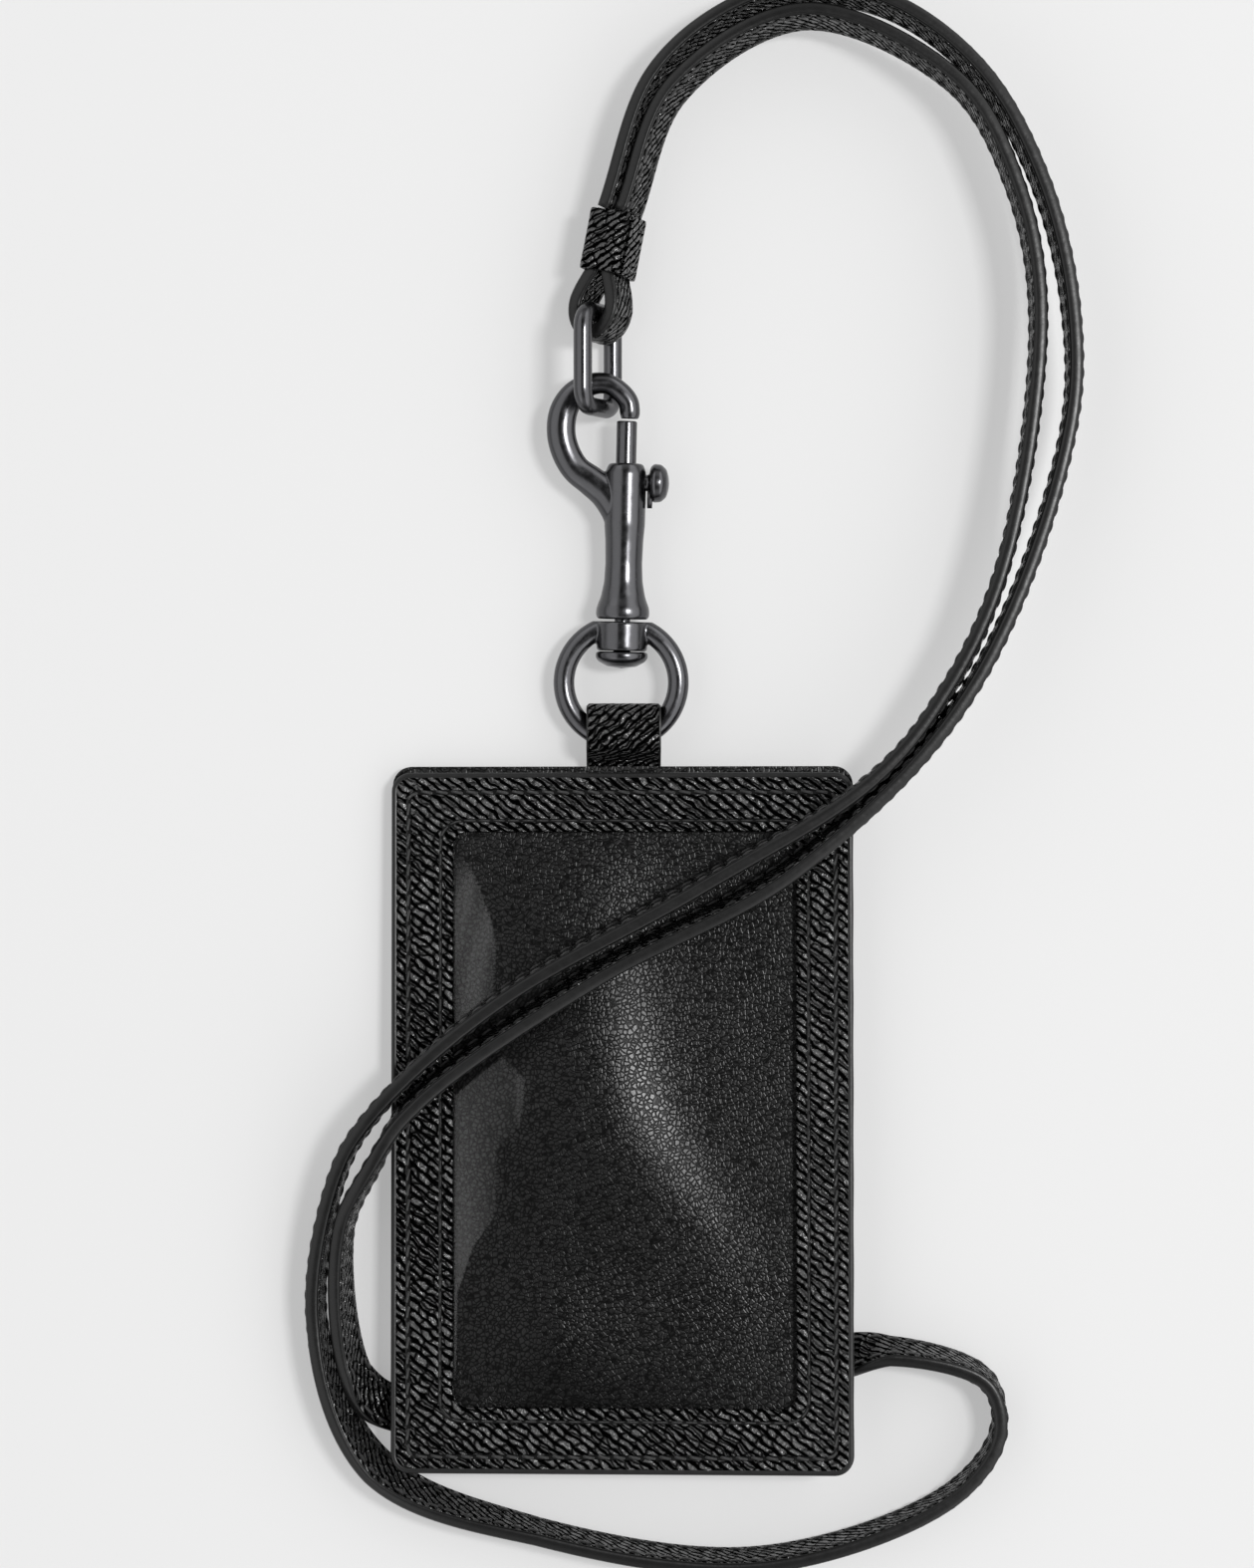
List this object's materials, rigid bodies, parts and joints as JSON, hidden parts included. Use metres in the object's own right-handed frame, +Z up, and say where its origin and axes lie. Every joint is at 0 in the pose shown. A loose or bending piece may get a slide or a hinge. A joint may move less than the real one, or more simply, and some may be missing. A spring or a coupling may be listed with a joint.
{
  "type": "lanyard badge holder",
  "caption": "Black leather badge case with a clear window, a ring, a swivel hook with a sliding bolt, and a long flat leather neck strap that loops over and under the case.",
  "frame": {"origin": "on the surface under the middle of the badge case", "axes": "+Y from the badge case towards the hook, +Z up from the surface, out of the window side"},
  "size_m": [0.1167, 0.2407, 0.0149],
  "materials": {
    "crossgrain_leather": "black crossgrain leather with painted edges",
    "smooth_leather": "black smooth leather with a fine pebble",
    "clear_film": "clear glossy film",
    "thread": "black bonded thread",
    "board": "grey fibre board, hidden",
    "gunmetal": "polished dark gunmetal plating",
    "spring_steel": "spring wire, hidden"
  },
  "bodies": {
    "badge_case": {"back_panel": "crossgrain_leather", "stiffener_board": "board", "pocket_lining": "smooth_leather", "pocket_filler": "smooth_leather", "window_film": "clear_film", "front_frame": "crossgrain_leather", "front_edge_stitching": "thread", "window_stitching": "thread", "back_edge_stitching": "thread", "leather_tab": "crossgrain_leather", "strap_loop": "crossgrain_leather", "keeper": "crossgrain_leather", "lanyard_strap": "crossgrain_leather"},
    "ring": {"swivel_ring": "gunmetal"},
    "snap_hook": {"hook_body": "gunmetal", "swivel_rivet": "gunmetal", "bolt_spring": "spring_steel"},
    "bolt": {"latch_bolt": "gunmetal", "thumb_stud": "gunmetal"},
    "link": {"oblong_link": "gunmetal"}
  },
  "joints": [
    {"name": "ring_tilt", "type": "hinge", "parent": "badge_case", "child": "ring", "pos_m": [-0.00042, 0.05865, 0.00392], "axis": [1, 0, 0], "range_deg": [-0.5, 1.5]},
    {"name": "hook_swivel", "type": "hinge", "parent": "ring", "child": "snap_hook", "pos_m": [-0.0003, 0.0663, 0.00415], "axis": [0.0227, 0.9993, 0.0297], "range_deg": [-10, 5]},
    {"name": "bolt_pull", "type": "slide", "parent": "snap_hook", "child": "bolt", "axis": [-0.0227, -0.9993, -0.0297], "range_m": [0, 0.0055], "stiffness_N_per_m": 400, "springref_m": -0.002, "deforming": ["bolt_spring"]},
    {"name": "link_swing", "type": "hinge", "parent": "badge_case", "child": "link", "pos_m": [-0.0038, 0.1222, 0.0065], "axis": [-0.3836, 0.0746, 0.9205], "range_deg": [-1.5, 2]}
  ]
}
